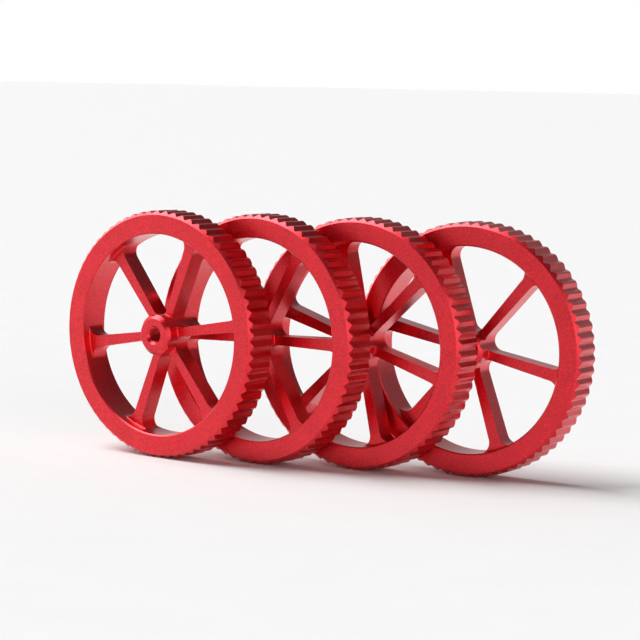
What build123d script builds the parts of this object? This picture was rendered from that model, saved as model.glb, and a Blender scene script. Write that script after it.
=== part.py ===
from build123d import *
from math import cos, pi, radians, sin, tan
import os

# One handwheel is drawn lying flat: its axis is Z, its front faces up and the front face of its rim is
# at height 0. It is then stood on edge with its front towards -Y, and placed in the row on the floor,
# which is the plane Z = 0. All sizes are millimetres.

# Rim and knurl
TIP_RADIUS = 30.0
RIM_THICKNESS = 8.0
RIM_BORE_RADIUS = 24.4
BORE_EDGE_BREAK = 0.3
FRONT_CHAMFER = 0.95
BACK_CHAMFER = 0.3
TEETH = 70
TOOTH_DEPTH = 0.6
TOOTH_FLAT_SHARE = 0.14

# Web and spokes
WEB_FRONT_RECESS = 2.5
WEB_BACK_RECESS = 1.0
WEB_FOOT_RADIUS = 0.35
SPOKES = 6
SPOKE_NARROW_WIDTH = 2.25
SPOKE_NARROW_RADIUS = 9.0
SPOKE_WIDE_WIDTH = 2.95
WINDOW_OVERCUT = 0.02
WINDOW_RIM_FILLET = 2.5
WINDOW_HUB_FILLET = 2.4

# Hub
BOSS_FACE_RADIUS = 4.0
BOSS_PROUD = 1.0
BOSS_CHAMFER = 0.9

# Thread, M4 x 0.7, right hand, with the hole before tapping at the wide end of its usual tolerance
THREAD_PITCH = 0.7
THREAD_MINOR_RADIUS = 1.71
THREAD_MAJOR_RADIUS = 2.0
THREAD_FLANK_ANGLE = 30
THREAD_FLOOR_WIDTH = 0.02
GROOVE_OVERLAP = 0.15
COUNTERSINK_RADIUS = 2.35

# Worked out from the sizes above
BOSS_RADIUS = BOSS_FACE_RADIUS + BOSS_CHAMFER
WEB_FRONT = -WEB_FRONT_RECESS
WEB_BACK = -RIM_THICKNESS + WEB_BACK_RECESS
COUNTERSINK_DEPTH = COUNTERSINK_RADIUS - THREAD_MINOR_RADIUS
CUT_MARGIN = 1.0

# Each wheel's centre across the row and from front to back, the turn of its face about the vertical and
# the roll of its spokes, in millimetres and degrees. The wheels overlap, and each one stands close
# behind its neighbour: its boss clears the back of that neighbour's rim by a third of a millimetre or
# more. wheel_3 stands far enough from wheel_2's rim for a screw to reach its thread past that rim.
ROW = {
    "wheel_1": (-35.39, -18.41, -2.0, 9.4),
    "wheel_2": (-12.69, -9.76, -2.7, 1.1),
    "wheel_3": (10.29, -0.49, 0.6, -16.2),
    "wheel_4": (35.49, 9.41, 4.1, -11.2),
}


def turned_blank():
    """Rim, web and hub as one lathe-turned body, with a small radius at the foot of each front wall."""
    corners = [
        (0, BOSS_PROUD),
        (BOSS_FACE_RADIUS, BOSS_PROUD),
        (BOSS_RADIUS, BOSS_PROUD - BOSS_CHAMFER),
        (BOSS_RADIUS, WEB_FRONT),
        (RIM_BORE_RADIUS, WEB_FRONT),
        (RIM_BORE_RADIUS, -BORE_EDGE_BREAK),
        (RIM_BORE_RADIUS + BORE_EDGE_BREAK, 0),
        (TIP_RADIUS - FRONT_CHAMFER, 0),
        (TIP_RADIUS, -FRONT_CHAMFER),
        (TIP_RADIUS, -RIM_THICKNESS + BACK_CHAMFER),
        (TIP_RADIUS - BACK_CHAMFER, -RIM_THICKNESS),
        (RIM_BORE_RADIUS + BORE_EDGE_BREAK, -RIM_THICKNESS),
        (RIM_BORE_RADIUS, -RIM_THICKNESS + BORE_EDGE_BREAK),
        (RIM_BORE_RADIUS, WEB_BACK),
        (0, WEB_BACK),
    ]
    section = make_face(Polyline(*corners, close=True))
    feet = section.vertices().filter_by_position(Axis.Y, WEB_FRONT, WEB_FRONT)
    section = fillet(feet, WEB_FOOT_RADIUS)
    return revolve(Plane.XZ * section, Axis.Z)


def knurl_prism():
    """A prism with the toothed outline, tall enough to trim the rim's outside."""
    half_pitch = pi / TEETH
    half_flat = half_pitch * TOOTH_FLAT_SHARE
    outline = []
    for half_tooth in range(2 * TEETH):
        radius = TIP_RADIUS if half_tooth % 2 == 0 else TIP_RADIUS - TOOTH_DEPTH
        middle = half_tooth * half_pitch
        for angle in (middle - half_flat, middle + half_flat):
            outline.append((radius * cos(angle), radius * sin(angle)))
    start = -RIM_THICKNESS - CUT_MARGIN
    height = RIM_THICKNESS + BOSS_PROUD + 2 * CUT_MARGIN
    return Pos(0, 0, start) * extrude(make_face(Polyline(*outline, close=True)), height)


def window_face():
    """One window between two spokes, centred on +X: a wedge with tapered sides, rounded at both ends.

    Its outer arc runs a hair into the rim's inner wall, so no step is left there between the spokes.
    """
    half_pitch = pi / SPOKES
    taper = (SPOKE_WIDE_WIDTH - SPOKE_NARROW_WIDTH) / (RIM_BORE_RADIUS - SPOKE_NARROW_RADIUS) / 2

    def spoke_side(radius):
        half_width = SPOKE_NARROW_WIDTH / 2 + taper * (radius - SPOKE_NARROW_RADIUS)
        x = radius * cos(half_pitch) + half_width * sin(half_pitch)
        y = radius * sin(half_pitch) - half_width * cos(half_pitch)
        return x, y

    start_x, start_y = spoke_side(0)
    end_x, end_y = spoke_side(2 * RIM_BORE_RADIUS)
    apex_x = start_x - start_y * (end_x - start_x) / (end_y - start_y)
    wedge = make_face(Polyline((apex_x, 0), (end_x, end_y), (end_x, -end_y), close=True))
    window = wedge & Circle(RIM_BORE_RADIUS + WINDOW_OVERCUT)
    window = fillet(window.vertices().sort_by(Axis.X)[0], WINDOW_HUB_FILLET)
    return fillet(window.vertices().sort_by(Axis.X)[-2:], WINDOW_RIM_FILLET)


def window_cutters():
    """The prisms that open the web between the spokes, one to a window."""
    cutter = Pos(0, 0, -RIM_THICKNESS) * extrude(window_face(), RIM_THICKNESS + BOSS_PROUD)
    pitch = 360 / SPOKES
    return [Rot(0, 0, (window + 0.5) * pitch) * cutter for window in range(SPOKES)]


def threaded_bore():
    """The tools that cut the bore: a core with its helical groove, and the two countersinks.

    The core is longer than the groove, and its seam is turned away from where the groove starts.
    """
    base = (Align.CENTER, Align.CENTER, Align.MIN)
    length = BOSS_PROUD - WEB_BACK
    lead = THREAD_PITCH / 2
    mouth = THREAD_MINOR_RADIUS - GROOVE_OVERLAP
    half_floor = THREAD_FLOOR_WIDTH / 2
    half_mouth = half_floor + (THREAD_MAJOR_RADIUS - mouth) * tan(radians(THREAD_FLANK_ANGLE))
    corners = [
        (mouth, -half_mouth),
        (mouth, half_mouth),
        (THREAD_MAJOR_RADIUS, half_floor),
        (THREAD_MAJOR_RADIUS, -half_floor),
    ]
    start = Pos(0, 0, WEB_BACK - lead)
    path = start * Helix(THREAD_PITCH, length + 2 * lead, THREAD_MINOR_RADIUS)
    groove = sweep(start * (Plane.XZ * make_face(Polyline(*corners, close=True))), path, is_frenet=True)
    core = Cylinder(THREAD_MINOR_RADIUS, length + 2 * CUT_MARGIN, align=base)
    bore = Pos(0, 0, WEB_BACK - CUT_MARGIN) * Rot(0, 0, 90) * core + groove
    front = Cone(THREAD_MINOR_RADIUS, COUNTERSINK_RADIUS, COUNTERSINK_DEPTH, align=base)
    back = Cone(COUNTERSINK_RADIUS, THREAD_MINOR_RADIUS, COUNTERSINK_DEPTH, align=base)
    return [bore, Pos(0, 0, BOSS_PROUD - COUNTERSINK_DEPTH) * front, Pos(0, 0, WEB_BACK) * back]


def handwheel():
    """One finished wheel, lying flat with its front upwards."""
    wheel = turned_blank() & knurl_prism()
    for cutter in window_cutters() + threaded_bore():
        wheel = wheel - cutter
    return wheel.solid()


def main():
    os.makedirs("parts", exist_ok=True)
    wheel = handwheel()
    for name, (across, back, turn, roll) in ROW.items():
        place = Pos(across, back, TIP_RADIUS) * Rot(0, 0, turn) * Rot(90, 0, 0) * Rot(0, 0, roll)
        placed = wheel.moved(place)
        placed.label = name
        export_step(placed, f"parts/{name}.step")


if __name__ == "__main__":
    main()
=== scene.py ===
import math

import bpy
from mathutils import Matrix, Vector

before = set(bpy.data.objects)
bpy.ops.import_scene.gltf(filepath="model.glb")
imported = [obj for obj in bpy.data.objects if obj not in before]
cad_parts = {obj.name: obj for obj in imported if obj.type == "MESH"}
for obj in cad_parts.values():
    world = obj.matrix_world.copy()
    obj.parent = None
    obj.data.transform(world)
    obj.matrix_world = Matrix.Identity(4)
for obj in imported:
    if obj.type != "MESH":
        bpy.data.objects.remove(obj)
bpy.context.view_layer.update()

MM = 0.001
WHEELS = ("wheel_1", "wheel_2", "wheel_3", "wheel_4")

# Where the camera stands, in metres, and how it is turned. It looks at the row's fronts from the right.
CAMERA_PLACE = Vector((0.35170, -0.47946, 0.09710))
CAMERA_AZIMUTH = math.radians(36.237)
CAMERA_PITCH = math.radians(5.968)
CAMERA_ROLL = math.radians(1.175)
CAMERA_NEAR = 0.01
CAMERA_FAR = 20.0
LENS_MM = 140.625
SENSOR_MM = 36.0

# The lens axis lies half a pixel off the middle of a picture 640 pixels wide.
HALF_PIXEL = 0.5 / 640

# The soft lights: name, azimuth to the camera's left, elevation, width (all in degrees) and radiance
SOFTBOXES = (
    ("overhead", 106, 58, 42, 7.0),
    ("left_panel", 117, 14, 60, 2.2),
    ("front_panel", -22, 12, 44, 1.9),
)

# The room around the row. Each edge is where one brightness fades to the next: BACKDROP_EDGE by how far
# a direction points away from the camera, the others by its height, both from 0 to 1.
ROOM_RADIANCE = 0.07
BACKDROP_RADIANCE = 0.5
SKIRTING_RADIANCE = 1.0
BACKDROP_EDGE = (0.3, 0.8)
BACKDROP_TOP = (0.2, 0.8)
SKIRTING_EDGE = (0.03, 0.08)

# The red metal: a fine blasted grain with a little slow cloudiness moves the colour between two reds, and
# the blasted grain alone moves the roughness between two values. All edges are shaded slightly rounded.
BLAST = {"Scale": 2600.0, "Detail": 2.0, "Roughness": 0.6}
CLOUD = {"Scale": 150.0, "Detail": 4.0, "Roughness": 0.5}
CLOUD_SHARE = 0.25
GRAIN_RANGE = (0.42, 0.84)
DEEP_RED = (0.56, 0.003, 0.013, 1)
BRIGHT_RED = (0.92, 0.017, 0.034, 1)
BLAST_RANGE = (0.3, 0.7)
ROUGHNESS_RANGE = (0.34, 0.44)
CLEAR_COAT = {"Coat Weight": 1.0, "Coat Roughness": 0.3, "Coat IOR": 1.4}
EDGE_RADIUS = 0.14 * MM
EDGE_SAMPLES = 6
BLAST_DEPTH = 0.05 * MM
BLAST_STRENGTH = 0.5

# The white paper that the row stands on
FLOOR_RADIUS = 8.0
FLOOR_SIDES = 96
PAPER_GRAIN_SCALE = 60.0
PAPER_DARK = (0.86, 0.86, 0.86, 1)
PAPER_LIGHT = (0.89, 0.89, 0.89, 1)
PAPER_ROUGHNESS = 0.9


def camera_axes():
    """The camera's right, up and forward directions in the row's frame."""
    level = Vector((math.cos(CAMERA_AZIMUTH), math.sin(CAMERA_AZIMUTH), 0))
    forward = Vector((
        -math.sin(CAMERA_AZIMUTH) * math.cos(CAMERA_PITCH),
        math.cos(CAMERA_AZIMUTH) * math.cos(CAMERA_PITCH),
        -math.sin(CAMERA_PITCH),
    ))
    upright = level.cross(forward)
    right = level * math.cos(CAMERA_ROLL) + upright * math.sin(CAMERA_ROLL)
    up = upright * math.cos(CAMERA_ROLL) - level * math.sin(CAMERA_ROLL)
    return right, up, forward


def add_camera():
    right, up, forward = camera_axes()
    data = bpy.data.cameras.new("camera")
    data.lens = LENS_MM
    data.sensor_width = SENSOR_MM
    data.shift_x = -HALF_PIXEL
    data.shift_y = HALF_PIXEL
    data.clip_start = CAMERA_NEAR
    data.clip_end = CAMERA_FAR
    camera = bpy.data.objects.new("camera", data)
    turn = Matrix((right, up, -forward)).transposed().to_4x4()
    camera.matrix_world = Matrix.Translation(CAMERA_PLACE) @ turn
    bpy.context.scene.collection.objects.link(camera)
    bpy.context.scene.camera = camera


def toward(azimuth_deg, elevation_deg):
    """Unit vector from the row, by azimuth to the camera's left and elevation above the floor."""
    azimuth = math.radians(azimuth_deg)
    elevation = math.radians(elevation_deg)
    near = Vector((math.sin(CAMERA_AZIMUTH), -math.cos(CAMERA_AZIMUTH), 0))
    left = Vector((-math.cos(CAMERA_AZIMUTH), -math.sin(CAMERA_AZIMUTH), 0))
    level = near * math.cos(azimuth) + left * math.sin(azimuth)
    return level * math.cos(elevation) + Vector((0, 0, math.sin(elevation)))


def add_softbox(name, azimuth_deg, elevation_deg, spread_deg, radiance):
    """A round soft light far off, spread_deg across as seen from the row, with one radiance all over."""
    half_spread = math.radians(spread_deg) / 2
    data = bpy.data.lights.new(name, "SUN")
    data.angle = 2 * half_spread
    data.energy = radiance * math.pi * math.sin(half_spread) ** 2
    lamp = bpy.data.objects.new(name, data)
    away = toward(azimuth_deg, elevation_deg)
    lamp.rotation_mode = "QUATERNION"
    lamp.rotation_quaternion = away.to_track_quat("Z", "Y")
    lamp.location = away
    bpy.context.scene.collection.objects.link(lamp)


def new_material(name):
    """A node material, given back with its tree and its shader."""
    material = bpy.data.materials.new(name)
    material.use_nodes = True
    tree = material.node_tree
    return material, tree, tree.nodes["Principled BSDF"]


def set_inputs(node, values):
    for name, value in values.items():
        node.inputs[name].default_value = value


def noise(tree, coord, settings):
    """Noise over the object's own coordinates."""
    node = tree.nodes.new("ShaderNodeTexNoise")
    set_inputs(node, settings)
    tree.links.new(coord.outputs["Object"], node.inputs["Vector"])
    return node.outputs["Fac"]


def colour_ramp(tree, source, low_colour, high_colour, span=(0.0, 1.0)):
    """The colour that goes from one to the other while the source goes across the span."""
    ramp = tree.nodes.new("ShaderNodeValToRGB")
    for stop, place, colour in zip(ramp.color_ramp.elements, span, (low_colour, high_colour)):
        stop.position = place
        stop.color = colour
    tree.links.new(source, ramp.inputs["Fac"])
    return ramp.outputs["Color"]


def map_range(tree, source, span, low, high, interpolation="LINEAR"):
    """The number that goes from low to high while the source goes across the span."""
    node = tree.nodes.new("ShaderNodeMapRange")
    node.interpolation_type = interpolation
    set_inputs(node, {"From Min": span[0], "From Max": span[1], "To Min": low, "To Max": high})
    tree.links.new(source, node.inputs["Value"])
    return node.outputs["Result"]


def combine(tree, operation, first, second):
    """A sum, product or maximum of two values, each a number or another node's output."""
    node = tree.nodes.new("ShaderNodeMath")
    node.operation = operation
    for socket, value in zip(node.inputs, (first, second)):
        if isinstance(value, float):
            socket.default_value = value
        else:
            tree.links.new(value, socket)
    return node.outputs["Value"]


def red_anodised():
    """Bead-blasted aluminium under a red dyed oxide layer: satin metal with a fine grain and a clear top."""
    material, tree, shader = new_material("red_anodised_aluminium")
    coord = tree.nodes.new("ShaderNodeTexCoord")
    blast = noise(tree, coord, BLAST)
    cloud = noise(tree, coord, CLOUD)
    grain = combine(tree, "ADD", combine(tree, "MULTIPLY", cloud, CLOUD_SHARE), blast)

    shader.inputs["Metallic"].default_value = 1.0
    set_inputs(shader, CLEAR_COAT)
    colour = colour_ramp(tree, grain, DEEP_RED, BRIGHT_RED, GRAIN_RANGE)
    tree.links.new(colour, shader.inputs["Base Color"])
    roughness = map_range(tree, blast, BLAST_RANGE, *ROUGHNESS_RANGE)
    tree.links.new(roughness, shader.inputs["Roughness"])

    edge = tree.nodes.new("ShaderNodeBevel")
    edge.samples = EDGE_SAMPLES
    edge.inputs["Radius"].default_value = EDGE_RADIUS
    bump = tree.nodes.new("ShaderNodeBump")
    set_inputs(bump, {"Strength": BLAST_STRENGTH, "Distance": BLAST_DEPTH})
    tree.links.new(blast, bump.inputs["Height"])
    tree.links.new(edge.outputs["Normal"], bump.inputs["Normal"])
    tree.links.new(bump.outputs["Normal"], shader.inputs["Normal"])
    return material


def studio_paper():
    """Matt white paper with a faint grain."""
    material, tree, shader = new_material("studio_paper")
    coord = tree.nodes.new("ShaderNodeTexCoord")
    grain = noise(tree, coord, {"Scale": PAPER_GRAIN_SCALE})
    tree.links.new(colour_ramp(tree, grain, PAPER_DARK, PAPER_LIGHT), shader.inputs["Base Color"])
    shader.inputs["Roughness"].default_value = PAPER_ROUGHNESS
    return material


def dress_wheels():
    """All four wheels are the same red metal. Their shape is the CAD's own."""
    metal = red_anodised()
    for name in WHEELS:
        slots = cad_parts[name].data.materials
        slots.clear()
        slots.append(metal)


def add_floor():
    bpy.ops.mesh.primitive_circle_add(
        vertices=FLOOR_SIDES, radius=FLOOR_RADIUS, fill_type="NGON", location=(0, 0, 0)
    )
    floor = bpy.context.active_object
    floor.name = "studio_floor"
    floor.data.materials.append(studio_paper())


def add_world():
    """A studio room: dim walls, a paler backdrop behind the row and a thin white skirting all round."""
    world = bpy.data.worlds.new("studio")
    world.use_nodes = True
    tree = world.node_tree
    background = tree.nodes["Background"]
    background.inputs["Color"].default_value = (1, 1, 1, 1)
    coord = tree.nodes.new("ShaderNodeTexCoord")
    split = tree.nodes.new("ShaderNodeSeparateXYZ")
    tree.links.new(coord.outputs["Generated"], split.inputs["Vector"])
    height = split.outputs["Z"]
    facing = tree.nodes.new("ShaderNodeVectorMath")
    facing.operation = "DOT_PRODUCT"
    facing.inputs[1].default_value = toward(180, 0)
    tree.links.new(coord.outputs["Generated"], facing.inputs[0])

    backdrop = map_range(tree, facing.outputs["Value"], BACKDROP_EDGE, 0.0, BACKDROP_RADIANCE, "SMOOTHSTEP")
    fade = map_range(tree, height, BACKDROP_TOP, 1.0, 0.0, "SMOOTHSTEP")
    skirting = map_range(tree, height, SKIRTING_EDGE, SKIRTING_RADIANCE, 0.0, "SMOOTHSTEP")
    walls = combine(tree, "ADD", combine(tree, "MULTIPLY", backdrop, fade), ROOM_RADIANCE)
    tree.links.new(combine(tree, "MAXIMUM", walls, skirting), background.inputs["Strength"])
    bpy.context.scene.world = world


bpy.context.scene.view_settings.view_transform = "Standard"
dress_wheels()
add_camera()
add_floor()
add_world()
for softbox in SOFTBOXES:
    add_softbox(*softbox)
